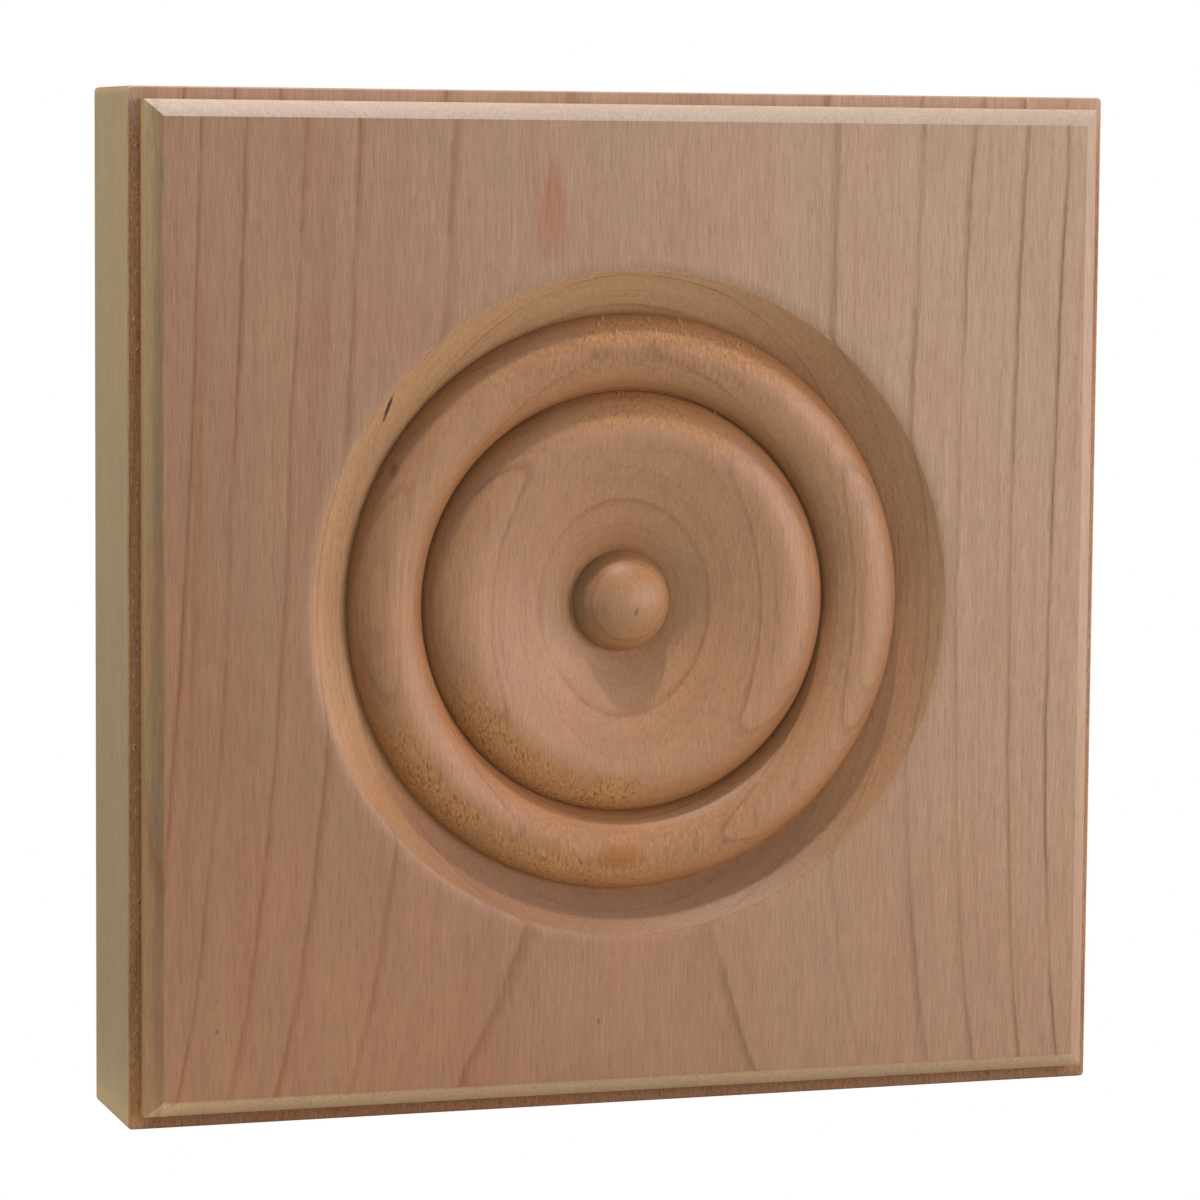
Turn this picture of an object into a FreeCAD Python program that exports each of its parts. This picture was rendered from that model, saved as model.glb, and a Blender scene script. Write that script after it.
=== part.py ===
import FreeCAD, Part
import math
import os

# Corner rosette block: a square block of cherry that joins door or window casings at a corner.
# A moulded edge runs round the face and a bull's-eye rosette is turned into its middle.
# Frame: the back lies in the plane y = 0, the carved face looks along -Y, +Z is up along the grain,
# and the origin is the centre of the back. All lengths are in millimetres.

# The block
block_width = 114.3
block_height = 114.3
block_thickness = 20.64

# The moulded edge: a narrow flat step, a short upright, then a flat round that rises to the face.
# The cutter ran a little further in along the lower side.
edge_step_width = 1.4
lower_step_width = 1.7
edge_step_depth = 3.5
upright_height = 1.9
round_width = 1.85
round_radius = 7.8
step_ease = 0.15
corner_ease = 0.4

# The rosette, from its lip inwards: widths are radial, depths are below the face
rosette_radius = 37.5
lip_ease = 0.35
band_width = 5.0
band_hollow_radius = 29.0
outer_groove_depth = 3.8
ring_outer_reach = 3.9
ring_crest_depth = 0.57
ring_inner_reach = 4.85
inner_groove_depth = 4.25
rim_outer_reach = 4.6
rim_crest_depth = 1.22
rim_inner_reach = 1.95
rim_inner_drop = 0.28
dish_bow_radius = 48.0
button_radius = 5.7
button_foot_depth = 5.45
button_crown_depth = 0.95

# Radii and depths that follow from these
outer_groove_radius = rosette_radius - band_width
ring_crest_radius = outer_groove_radius - ring_outer_reach
inner_groove_radius = ring_crest_radius - ring_inner_reach
rim_crest_radius = inner_groove_radius - rim_outer_reach
dish_top_radius = rim_crest_radius - rim_inner_reach
dish_top_depth = rim_crest_depth + rim_inner_drop


def face_point(radius, depth):
    """A point of the turned section, in the plane z = 0."""
    return FreeCAD.Vector(radius, depth - block_thickness, 0)


def line(start, end):
    return Part.LineSegment(start, end).toShape()


def crest_arc(crest, foot):
    """The arc that leaves a crest level with the face and falls to a foot."""
    reach = foot.x - crest.x
    drop = foot.y - crest.y
    radius = (reach**2 + drop**2) / (2 * drop)
    centre = crest + FreeCAD.Vector(0, radius, 0)
    half_turn = math.atan2(drop, reach) if reach > 0 else math.atan2(-drop, -reach)
    middle = centre + FreeCAD.Vector(radius * math.sin(half_turn), -radius * math.cos(half_turn), 0)
    return Part.Arc(crest, middle, foot).toShape()


def chord_arc(start, end, radius):
    """The arc of a given radius between two points, with its hollow side to the right of start to end."""
    chord = end - start
    left = FreeCAD.Vector(-chord.y, chord.x, 0).normalize()
    rise = radius - math.sqrt(radius**2 - chord.Length**2 / 4)
    return Part.Arc(start, (start + end) / 2 + left * rise, end).toShape()


def turned(edges):
    """The solid that a closed section sweeps round the rosette's axis."""
    section = Part.Face(Part.Wire(edges))
    return section.revolve(FreeCAD.Vector(0, 0, 0), FreeCAD.Vector(0, 1, 0), 360)


def moulded_side(half, step_width):
    """The section of one moulded side, from the back to the face, with the side at x = half."""
    back = FreeCAD.Vector(half, 0, 0)
    step_arris = FreeCAD.Vector(half, edge_step_depth - block_thickness, 0)
    side_end = step_arris + FreeCAD.Vector(0, step_ease, 0)
    step_start = step_arris - FreeCAD.Vector(step_ease, 0, 0)
    step_root = step_arris - FreeCAD.Vector(step_width, 0, 0)
    round_foot = step_root - FreeCAD.Vector(0, upright_height, 0)
    face_arris = FreeCAD.Vector(step_root.x - round_width, -block_thickness, 0)
    return back, face_arris, [
        line(back, side_end),
        line(side_end, step_start),
        line(step_start, step_root),
        line(step_root, round_foot),
        chord_arc(round_foot, face_arris, round_radius),
    ]


def moulded_bar(across, along, right_step, left_step):
    """A bar of the edge section, moulded on both long sides, laid along Z and centred on the back."""
    centre = FreeCAD.Vector(0, 0, 0)
    sideways = FreeCAD.Vector(1, 0, 0)
    back, face_arris, right = moulded_side(across / 2, right_step)
    far_back, far_arris, far_side = moulded_side(across / 2, left_step)
    left = [edge.mirror(centre, sideways) for edge in far_side]
    face = line(face_arris, FreeCAD.Vector(-far_arris.x, far_arris.y, 0))
    rear = line(FreeCAD.Vector(-far_back.x, 0, 0), back)
    outline = Part.Wire(Part.__sortEdges__(right + [face] + left + [rear]))
    bar = Part.Face(outline).extrude(FreeCAD.Vector(0, 0, along))
    bar.translate(FreeCAD.Vector(0, 0, -along / 2))
    return bar


def eased_corners():
    """A plain block with its four corner edges, from back to face, rounded by handling."""
    corner = FreeCAD.Vector(-block_width / 2, -block_thickness, -block_height / 2)
    plain = Part.makeBox(block_width, block_thickness, block_height, corner)
    edges = [edge for edge in plain.Edges if abs(edge.tangentAt(edge.FirstParameter).y) > 0.5]
    return plain.makeFillet(corner_ease, edges)


def block():
    """Two moulded bars at right angles; what they share has the mitred edge on all four sides."""
    upright = moulded_bar(block_width, block_height, edge_step_width, edge_step_width)
    level = moulded_bar(block_height, block_width, lower_step_width, edge_step_width)
    level.rotate(FreeCAD.Vector(0, 0, 0), FreeCAD.Vector(0, 1, 0), 90)
    return upright.common(level).common(eased_corners())


def rosette_waste():
    """The wood that the turning cutter takes out, from the lip in to the button."""
    above_face = FreeCAD.Vector(0, -block_thickness, 0)
    lip = face_point(rosette_radius + lip_ease, 0)
    band_top = face_point(rosette_radius - lip_ease / 2, lip_ease / 2)
    outer_groove = face_point(outer_groove_radius, outer_groove_depth)
    ring_crest = face_point(ring_crest_radius, ring_crest_depth)
    inner_groove = face_point(inner_groove_radius, inner_groove_depth)
    rim_crest = face_point(rim_crest_radius, rim_crest_depth)
    dish_top = face_point(dish_top_radius, dish_top_depth)
    button_foot = face_point(button_radius, button_foot_depth)
    button_crown = face_point(0, button_crown_depth)
    return turned([
        line(above_face, lip),
        line(lip, band_top),
        chord_arc(outer_groove, band_top, band_hollow_radius),
        crest_arc(ring_crest, outer_groove),
        crest_arc(ring_crest, inner_groove),
        crest_arc(rim_crest, inner_groove),
        crest_arc(rim_crest, dish_top),
        chord_arc(dish_top, button_foot, dish_bow_radius),
        crest_arc(button_crown, button_foot),
        line(button_crown, above_face),
    ])


os.makedirs("parts", exist_ok=True)
rosette_block = block().cut(rosette_waste()).Solids[0]
rosette_block.exportStep("parts/rosette_block.step")
print("rosette_block", rosette_block.ShapeType, rosette_block.isValid(), round(rosette_block.Volume, 1))
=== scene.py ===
# %% [markdown]
# # A corner rosette block
# The object is one square block of cherry, moulded round its edge and turned on its face. It stands where the
# casings of a door or window meet. This lesson dresses the exact part with a finer skin of its own section, the
# look of raw sanded cherry, and the light and view of a plain studio picture.

# %% Load the exact part
import math
import bmesh
import bpy
from mathutils import Matrix, Vector


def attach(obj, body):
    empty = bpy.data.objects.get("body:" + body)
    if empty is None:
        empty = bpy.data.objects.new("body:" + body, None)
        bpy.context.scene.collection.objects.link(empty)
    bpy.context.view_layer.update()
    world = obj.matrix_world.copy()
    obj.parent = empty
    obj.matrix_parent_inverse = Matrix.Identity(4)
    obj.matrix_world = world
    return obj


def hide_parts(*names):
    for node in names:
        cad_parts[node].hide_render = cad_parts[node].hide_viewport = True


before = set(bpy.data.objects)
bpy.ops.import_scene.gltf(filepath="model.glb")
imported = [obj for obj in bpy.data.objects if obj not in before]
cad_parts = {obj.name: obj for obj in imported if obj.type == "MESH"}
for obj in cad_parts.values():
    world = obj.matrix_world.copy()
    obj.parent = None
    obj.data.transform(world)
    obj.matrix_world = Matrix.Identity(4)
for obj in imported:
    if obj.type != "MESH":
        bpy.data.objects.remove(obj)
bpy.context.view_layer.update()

# %% [markdown]
# ## The section
# A moulding is known by its section: the line that the cutter leaves. Here one line tells all of it. It starts at
# the crown of the button, runs out over the dish, the ring and the hollow band, crosses the face, goes down the
# moulded edge and the side, and comes home along the back. Near the middle each point of the line is swept round
# a circle, because that part was turned. At the edge it is swept round a square, because that part was run along
# four straight sides. So each point has a size and a depth below the face, in millimetres, and a squareness.

# %% Stretches of the section
def straight(start, end, count):
    """Points from start to end, without the first."""
    return [tuple(a + (b - a) * i / count for a, b in zip(start, end)) for i in range(1, count + 1)]


def crest_to_foot(crest, foot, count):
    """An arc that leaves a crest level with the face and falls to a foot: (size, depth) points, crest first."""
    reach, drop = foot[0] - crest[0], foot[1] - crest[1]
    radius = (reach**2 + drop**2) / (2 * drop)
    turn = 2 * math.atan2(drop, abs(reach))
    side = math.copysign(1, reach)
    turns = [turn * i / count for i in range(count + 1)]
    return [(crest[0] + side * radius * math.sin(t), crest[1] + radius * (1 - math.cos(t))) for t in turns]


def bowed(start, end, radius, count):
    """An arc that bows outwards between two points, or inwards for a negative radius, without the first."""
    (x0, y0), (x1, y1) = start, end
    chord = math.hypot(x1 - x0, y1 - y0)
    sink = math.sqrt(radius**2 - chord**2 / 4)
    side = math.copysign(1, radius)
    cx = (x0 + x1) / 2 - side * (y1 - y0) / chord * sink
    cy = (y0 + y1) / 2 + side * (x1 - x0) / chord * sink
    a0, a1 = math.atan2(side * (y0 - cy), side * (x0 - cx)), math.atan2(side * (y1 - cy), side * (x1 - cx))
    turns = [a0 + (a1 - a0) * i / count for i in range(1, count + 1)]
    return [(cx + radius * math.cos(t), cy + radius * math.sin(t)) for t in turns]


# %% The turned middle
THICKNESS = 20.64
HALF = 57.15
EASE = 0.35
LIP, OUTER_GROOVE, INNER_GROOVE = (37.5, 0.0), (32.5, 3.8), (23.75, 4.25)
RING_CREST, RIM_CREST, DISH_TOP = (28.6, 0.57), (19.15, 1.22), (17.2, 1.5)
BUTTON_FOOT, BUTTON_CROWN = (5.7, 5.45), (0.0, 0.95)
BAND_HOLLOW, DISH_BOW = 29.0, 48.0

band_top = (LIP[0] - EASE / 2, EASE / 2)
turned = crest_to_foot(BUTTON_CROWN, BUTTON_FOOT, 24)
turned += bowed(BUTTON_FOOT, DISH_TOP, DISH_BOW, 22)
turned += crest_to_foot(RIM_CREST, DISH_TOP, 4)[-2::-1]
turned += crest_to_foot(RIM_CREST, INNER_GROOVE, 16)[1:]
turned += crest_to_foot(RING_CREST, INNER_GROOVE, 18)[-2::-1]
turned += crest_to_foot(RING_CREST, OUTER_GROOVE, 18)[1:]
turned += bowed(OUTER_GROOVE, band_top, -BAND_HOLLOW, 14)
turned += straight(band_top, (LIP[0] + EASE, 0.0), 2)
print("turned section:", len(turned), "points, deepest at", max(depth for size, depth in turned), "mm")

# %% The moulded edge and the back
STEP_WIDTH, STEP_DEPTH, STEP_EASE = 1.4, 3.5, 0.15
UPRIGHT, ROUND_WIDTH, ROUND_RADIUS = 1.9, 1.85, 7.8
# the step along the lower side is wider by this much, and the four corners are rounded by this much
LOWER_LIFT, CORNER_EASE = 0.3, 0.4
step_root = HALF - STEP_WIDTH
face_edge = step_root - ROUND_WIDTH
step_level = STEP_DEPTH - THICKNESS
# each row: size, squareness, depth, share of the lower side's lift, share of the corner's rounding
rows = [(size, 0.0, depth, 0.0, 0.0) for size, depth in turned]
rows += straight(rows[-1], (face_edge, 1.0, 0.0, 1.0, 0.0), 22)
moulded = bowed((face_edge, 0.0), (step_root, STEP_DEPTH - UPRIGHT), ROUND_RADIUS, 8)
moulded += straight(moulded[-1], (step_root, STEP_DEPTH), 4)
rows += [(size, 1.0, depth, 1.0, 0.0) for size, depth in moulded]
rows += straight(rows[-1], (HALF - STEP_EASE, 1.0, STEP_DEPTH, 0.0, 1.0), 5)
rows += straight(rows[-1], (HALF, 1.0, STEP_DEPTH + STEP_EASE, 0.0, 1.0), 1)
rows += straight(rows[-1], (HALF, 1.0, THICKNESS, 0.0, 1.0), 8)
rows += straight(rows[-1], (0.0, 1.0, THICKNESS, 0.0, 0.0), 5)
print("whole section:", len(rows), "points")

# %% [markdown]
# ## Sweeping the section
# A lathe and a router table would each do their share of the real block. In Blender one rule does both: an open
# cylinder has one ring of points for each point of the section, and Geometry Nodes move every ring to its size,
# squareness and depth. A circle becomes a square when each point is pushed out until its larger coordinate is 1.
# The skin stays one closed sheet with no seam between turned and moulded parts, which a set of separate
# surfaces would not. The columns stand closer together towards the four corners, where the edge is rounded.

# %% A helper for nodes
def add(tree, kind, settings=None, inputs=None, out=0):
    """Adds a node, gives it its settings, fills or links its inputs, and returns one output, or the node for None."""
    node = tree.nodes.new(kind)
    for name, value in (settings or {}).items():
        setattr(node, name, value)
    for key, value in (inputs or {}).items():
        if isinstance(value, bpy.types.NodeSocket):
            tree.links.new(value, node.inputs[key])
        else:
            node.inputs[key].default_value = value
    return node if out is None else node.outputs[out]


def new_tree(name, sockets):
    """A Geometry Nodes tree with a geometry in and out, and named inputs: (name, socket kind, default)."""
    tree = bpy.data.node_groups.new(name, "GeometryNodeTree")
    tree.interface.new_socket("Geometry", in_out="INPUT", socket_type="NodeSocketGeometry")
    tree.interface.new_socket("Geometry", in_out="OUTPUT", socket_type="NodeSocketGeometry")
    for label, kind, default in sockets:
        socket = tree.interface.new_socket(label, in_out="INPUT", socket_type=kind)
        if default is not None:
            socket.default_value = default
    return tree


def grown(name, mesh, tree, values):
    """Runs a tree on a mesh with the given input values and returns a plain mesh object of the result."""
    holder = bpy.data.objects.new(name + "_seed", mesh)
    bpy.context.scene.collection.objects.link(holder)
    modifier = holder.modifiers.new("grow", "NODES")
    modifier.node_group = tree
    for item in tree.interface.items_tree:
        if item.item_type == "SOCKET" and item.in_out == "INPUT" and item.name in values:
            modifier[item.identifier] = values[item.name]
    graph = bpy.context.evaluated_depsgraph_get()
    result = bpy.data.meshes.new_from_object(holder.evaluated_get(graph))
    holder.modifiers.remove(modifier)
    bpy.data.objects.remove(holder)
    result.name = name
    piece = bpy.data.objects.new(name, result)
    bpy.context.scene.collection.objects.link(piece)
    return piece


# %% The tree: which row and which column
COLUMNS, CROWDING = 480, 0.7
sweep = new_tree("turned_and_moulded", [
    ("Columns", "NodeSocketInt", COLUMNS),
    ("Corner Crowding", "NodeSocketFloat", CROWDING),
    ("Thickness", "NodeSocketFloat", THICKNESS / 1000),
    ("Corner Ease", "NodeSocketFloat", CORNER_EASE / 1000),
    ("Lower Lift", "NodeSocketFloat", LOWER_LIFT / 1000),
    ("Wood", "NodeSocketMaterial", None),
])
given = add(sweep, "NodeGroupInput", out=None).outputs
points = add(sweep, "GeometryNodeAttributeDomainSize", inputs={"Geometry": given["Geometry"]}, out="Point Count")
last = add(sweep, "ShaderNodeMath", {"operation": "SUBTRACT"}, {0: points, 1: 1.0})
tube = add(sweep, "GeometryNodeMeshCylinder", {"fill_type": "NONE"},
           {"Vertices": given["Columns"], "Side Segments": last, "Radius": 1.0, "Depth": last}, out="Mesh")
place = add(sweep, "ShaderNodeSeparateXYZ", inputs={0: add(sweep, "GeometryNodeInputPosition")}, out=None).outputs
row = add(sweep, "ShaderNodeMath", {"operation": "MULTIPLY_ADD"}, {0: last, 1: 0.5, 2: place["Z"]})
row = add(sweep, "ShaderNodeMath", {"operation": "ROUND"}, {0: row})
turn = add(sweep, "ShaderNodeMath", {"operation": "ARCTAN2"}, {0: place["Y"], 1: place["X"]})
crowd = add(sweep, "ShaderNodeMath", {"operation": "SINE"},
            {0: add(sweep, "ShaderNodeMath", {"operation": "MULTIPLY"}, {0: turn, 1: 4.0})})
quarter = add(sweep, "ShaderNodeMath", {"operation": "MULTIPLY"}, {0: given["Corner Crowding"], 1: 0.25})
turn = add(sweep, "ShaderNodeMath", {"operation": "MULTIPLY_ADD"}, {0: crowd, 1: quarter, 2: turn})
right = add(sweep, "ShaderNodeMath", {"operation": "COSINE"}, {0: turn})
up = add(sweep, "ShaderNodeMath", {"operation": "SINE"}, {0: turn})

# %% The tree: what the section says for that row
drawn = add(sweep, "GeometryNodeSampleIndex", {"data_type": "FLOAT_VECTOR", "domain": "POINT"},
            {"Geometry": given["Geometry"], "Value": add(sweep, "GeometryNodeInputPosition"), "Index": row})
drawn = add(sweep, "ShaderNodeSeparateXYZ", inputs={0: drawn}, out=None).outputs
said = {}
for label in ("lift", "corner"):
    value = add(sweep, "GeometryNodeInputNamedAttribute", {"data_type": "FLOAT"}, {"Name": label}, out="Attribute")
    said[label] = add(sweep, "GeometryNodeSampleIndex", {"data_type": "FLOAT", "domain": "POINT"},
                      {"Geometry": given["Geometry"], "Value": value, "Index": row})
wide = add(sweep, "ShaderNodeMath", {"operation": "ABSOLUTE"}, {0: right})
tall = add(sweep, "ShaderNodeMath", {"operation": "ABSOLUTE"}, {0: up})
larger = add(sweep, "ShaderNodeMath", {"operation": "MAXIMUM"}, {0: wide, 1: tall})
to_square = add(sweep, "ShaderNodeMath", {"operation": "DIVIDE"}, {0: 1.0, 1: larger})
reach = add(sweep, "ShaderNodeMapRange", {"clamp": False}, {"Value": drawn["Y"], "To Min": 1.0, "To Max": to_square})
reach = add(sweep, "ShaderNodeMath", {"operation": "MULTIPLY"}, {0: reach, 1: drawn["X"]})
ray = add(sweep, "ShaderNodeCombineXYZ", inputs={0: right, 2: up})
spot = add(sweep, "ShaderNodeVectorMath", {"operation": "SCALE"}, {0: ray, "Scale": reach})

# %% The tree: eased corners, the wider lower step, and the skin
ease = add(sweep, "ShaderNodeMath", {"operation": "MULTIPLY"}, {0: said["corner"], 1: given["Corner Ease"]})
inset = add(sweep, "ShaderNodeMath", {"operation": "SUBTRACT"}, {0: drawn["X"], 1: ease})
inset = add(sweep, "ShaderNodeCombineXYZ", inputs={0: inset, 2: inset})
first = add(sweep, "ShaderNodeVectorMath", {"operation": "ABSOLUTE"}, {0: spot})
past = add(sweep, "ShaderNodeVectorMath", {"operation": "SUBTRACT"}, {0: first, 1: inset})
past = add(sweep, "ShaderNodeVectorMath", {"operation": "MAXIMUM"}, {0: past, 1: (0, 0, 0)})
past = add(sweep, "ShaderNodeVectorMath", {"operation": "NORMALIZE"}, {0: past})
past = add(sweep, "ShaderNodeVectorMath", {"operation": "SCALE"}, {0: past, "Scale": ease})
first = add(sweep, "ShaderNodeVectorMath", {"operation": "MINIMUM"}, {0: first, 1: inset})
first = add(sweep, "ShaderNodeVectorMath", {"operation": "ADD"}, {0: first, 1: past})
signs = add(sweep, "ShaderNodeVectorMath", {"operation": "SIGN"}, {0: spot})
spot = add(sweep, "ShaderNodeVectorMath", {"operation": "MULTIPLY"}, {0: first, 1: signs})
below = add(sweep, "ShaderNodeMath", {"operation": "DIVIDE"}, {0: up, 1: larger})
below = add(sweep, "ShaderNodeMath", {"operation": "MINIMUM"}, {0: below, 1: 0.0})
raised = add(sweep, "ShaderNodeMath", {"operation": "MULTIPLY"}, {0: said["lift"], 1: given["Lower Lift"]})
raised = add(sweep, "ShaderNodeMath", {"operation": "MULTIPLY"}, {0: raised, 1: below})
raised = add(sweep, "ShaderNodeMath", {"operation": "MULTIPLY"}, {0: raised, 1: -1.0})
back = add(sweep, "ShaderNodeMath", {"operation": "SUBTRACT"}, {0: drawn["Z"], 1: given["Thickness"]})
spot = add(sweep, "ShaderNodeVectorMath", {"operation": "ADD"},
           {0: spot, 1: add(sweep, "ShaderNodeCombineXYZ", inputs={1: back, 2: raised})})
skin = add(sweep, "GeometryNodeSetPosition", inputs={"Geometry": tube, "Position": spot})
skin = add(sweep, "GeometryNodeMergeByDistance", inputs={"Geometry": skin, "Distance": 0.000002})
skin = add(sweep, "GeometryNodeRealizeInstances", inputs={"Geometry": skin})
skin = add(sweep, "GeometryNodeSetMaterial", inputs={"Geometry": skin, "Material": given["Wood"]})
add(sweep, "NodeGroupOutput", inputs={"Geometry": skin}, out=None)
print("sweeping tree:", len(sweep.nodes), "nodes")

# %% [markdown]
# ## Raw sanded cherry
# The block is bare cherry, planed and sanded, with no oil or lacquer. Its colour is a pinkish tan. The board was
# cut flat across the tree, so the growth rings lie nearly level behind the face: they show as long lines near the
# edges, as arches under the rosette, and as ovals where the dish cuts down through them. A picture of wood would
# not do this. A pattern in space does: the distance from the tree's heart, which lies 90 mm behind the face, is
# worked out for each point, and every cut surface then shows its own true figure.

# %% Colours
def colour(hex_code):
    """An sRGB hex value as linear light."""
    parts = [int(hex_code[i:i + 2], 16) / 255 for i in (1, 3, 5)]
    return [p / 12.92 if p <= 0.04045 else ((p + 0.055) / 1.055) ** 2.4 for p in parts] + [1.0]


# %% Where a point of the wood lies
# Cherry (Prunus), sanded to about 150 grit: fine even texture, a soft sheen along the grain, thin dark late-wood
# lines, and dull orange-brown where the cutter crossed the ends of the fibres.
SMOOTH = {"interpolation_type": "SMOOTHSTEP"}
cherry = bpy.data.materials.new("cherry_raw_sanded")
cherry.use_nodes = True
wood = cherry.node_tree
wood.nodes.clear()
spot = add(wood, "ShaderNodeTexCoord", out=None).outputs
mm = add(wood, "ShaderNodeVectorMath", {"operation": "SCALE"}, {0: spot["Object"], "Scale": 1000.0})
xyz = add(wood, "ShaderNodeSeparateXYZ", inputs={0: mm}, out=None).outputs
facing = add(wood, "ShaderNodeSeparateXYZ", inputs={0: spot["Normal"]}, out=None).outputs
flat = add(wood, "ShaderNodeVectorMath", {"operation": "MULTIPLY"}, {0: mm, 1: (1, 0, 1)})
outward = add(wood, "ShaderNodeVectorMath", {"operation": "NORMALIZE"}, {0: flat})
radius = add(wood, "ShaderNodeVectorMath", {"operation": "LENGTH"}, {0: flat}, out="Value")
in_rosette = add(wood, "ShaderNodeMapRange", SMOOTH,
                 {"Value": radius, "From Min": LIP[0] + 0.2, "From Max": LIP[0] - 0.5})
# the turned cuts end well in front of the back, and the flat sides lie behind the step
cut_side = add(wood, "ShaderNodeMapRange", inputs={"Value": xyz["Y"], "From Min": -13.5, "From Max": -14.5})
in_rosette = add(wood, "ShaderNodeMath", {"operation": "MULTIPLY"}, {0: in_rosette, 1: cut_side})
behind_step = add(wood, "ShaderNodeMapRange",
                  inputs={"Value": xyz["Y"], "From Min": step_level - 0.06, "From Max": step_level + 0.24})
print("places and masks:", len(wood.nodes), "nodes")

# %% Noises along the grain
# Width and length of a streak in mm, and octaves. Real pores and fibres are finer than 0.1 mm and are drawn coarser
# here so that they show.
NOISES = {"wander": (14, 45, 1), "ragged": (4, 7, 2), "fibre": (0.17, 2.2, 3), "thread": (0.5, 9, 3),
          "streak": (4, 80, 2), "blush": (9, 22, 2), "pore": (0.16, 2.4, 2), "patch": (4.5, 4.5, 3),
          "grit": (0.3, 0.7, 3), "stroke": (0.3, 1.5, 2), "fade": (5, 24, 1)}
noise = {}
for name, (width, length, octaves) in NOISES.items():
    stretch = (1 / width, 1 / width, 1 / length)
    place = add(wood, "ShaderNodeVectorMath", {"operation": "MULTIPLY"}, {0: mm, 1: stretch})
    noise[name] = add(wood, "ShaderNodeTexNoise",
                      inputs={"Vector": place, "Scale": 1.0, "Detail": octaves, "Roughness": 0.6})
print("noises:", ", ".join(noise))

# %% [markdown]
# ## Growth rings
# Each year the tree lays a wide pale band and then a thin dark one, so the line of a year fades in slowly and ends
# sharply. A wave of one even spacing could draw such lines, but real years differ. Here a colour ramp holds the
# years that show most, each at its own distance from the heart, and a wave adds only the faint ones between them.

# %% Distance from the heart
HEART_DEPTH = 90.0 - THICKNESS
# the heart leans a little to the right as it rises, and the tree is wider towards its foot
HEART_LEAN, HEART_SIDE = 0.035, -0.8
FLARE, FLARE_HEIGHT = 0.256, 25
# two noises move each ring in and out, and what they add on average is taken off again
WANDER, RAGGED = 0.7, 0.24
heart = add(wood, "ShaderNodeMath", {"operation": "MULTIPLY_ADD"}, {0: xyz["Z"], 1: HEART_LEAN, 2: HEART_SIDE})
aside = add(wood, "ShaderNodeMath", {"operation": "SUBTRACT"}, {0: xyz["X"], 1: heart})
deep = add(wood, "ShaderNodeMath", {"operation": "SUBTRACT"}, {0: xyz["Y"], 1: HEART_DEPTH})
spoke = add(wood, "ShaderNodeCombineXYZ", inputs={0: aside, 1: deep})
age = add(wood, "ShaderNodeVectorMath", {"operation": "LENGTH"}, {0: spoke}, out="Value")
flare = add(wood, "ShaderNodeMath", {"operation": "MULTIPLY"}, {0: xyz["Z"], 1: -1 / FLARE_HEIGHT})
flare = add(wood, "ShaderNodeMath", {"operation": "EXPONENT"}, {0: flare})
age = add(wood, "ShaderNodeMath", {"operation": "MULTIPLY_ADD"}, {0: flare, 1: -FLARE, 2: age})
age = add(wood, "ShaderNodeMath", {"operation": "MULTIPLY_ADD"}, {0: noise["wander"], 1: WANDER, 2: age})
age = add(wood, "ShaderNodeMath", {"operation": "MULTIPLY_ADD"}, {0: noise["ragged"], 1: RAGGED, 2: age})
age = add(wood, "ShaderNodeMath", {"operation": "SUBTRACT"}, {0: age, 1: (WANDER + RAGGED) / 2})
print("heart of the tree:", HEART_DEPTH, "mm behind the back")

# %% The lines of the years
# the years that drew the clearest lines, in mm from the heart, and how clear each is
CLEAR_YEARS = [(85.35, 0.55), (86.9, 0.7), (87.7, 0.4), (89.5, 0.85), (92.9, 0.8),
               (95.9, 1.0), (98.15, 0.9), (100.9, 1.0), (103.3, 1.0), (105.8, 0.9)]
FIRST, LAST = 83.0, 108.0
years = add(wood, "ShaderNodeMapRange", inputs={"Value": age, "From Min": FIRST, "From Max": LAST})
ramp = add(wood, "ShaderNodeValToRGB", inputs={0: years}, out=None)
stops = ramp.color_ramp.elements
stops[0].color = (0, 0, 0, 1)
stops[1].color = (0, 0, 0, 1)
# each line fades in over a third of a millimetre and ends within a ninth
for year, value in CLEAR_YEARS:
    for offset, share in ((-0.4, 0.0), (-0.06, value), (0.05, 0.0)):
        stops.new((year + offset - FIRST) / (LAST - FIRST)).color = (share, share, share, 1)
late = add(wood, "ShaderNodeMath", {"operation": "POWER"}, {0: ramp.outputs[0], 1: 1.7})
FAINT_SPACING = 1.1
faint = add(wood, "ShaderNodeMath", {"operation": "MULTIPLY"}, {0: age, 1: 1 / FAINT_SPACING})
faint = add(wood, "ShaderNodeMath", {"operation": "FRACT"}, {0: faint})
faint = add(wood, "ShaderNodeMath", {"operation": "POWER"}, {0: faint, 1: 4.0})
print("clear rings drawn:", len(CLEAR_YEARS))

# %% [markdown]
# ## What the cutters did to the wood
# A surface that faces along the grain shows cut fibre ends. Where the turning cutter met them from below, at the
# lower left and the top of the rosette, it tore the outward slopes into golden specks. On the crown of the ring,
# above and below the middle, the cut ends show as short strokes. These places could be painted by hand, but here
# each is a mask worked out from where a point lies and which way its surface faces, so it stays with the shape.

# %% End grain and torn grain
across_grain = add(wood, "ShaderNodeMath", {"operation": "ABSOLUTE"}, {0: facing["Z"]})
end_grain = add(wood, "ShaderNodeMapRange", SMOOTH,
                {"Value": across_grain, "From Min": 0.05, "From Max": 0.6})
slope = add(wood, "ShaderNodeVectorMath", {"operation": "DOT_PRODUCT"}, {0: spot["Normal"], 1: outward}, out="Value")
slope = add(wood, "ShaderNodeMapRange", SMOOTH, {"Value": slope, "From Min": -0.02, "From Max": 0.3})
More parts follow.
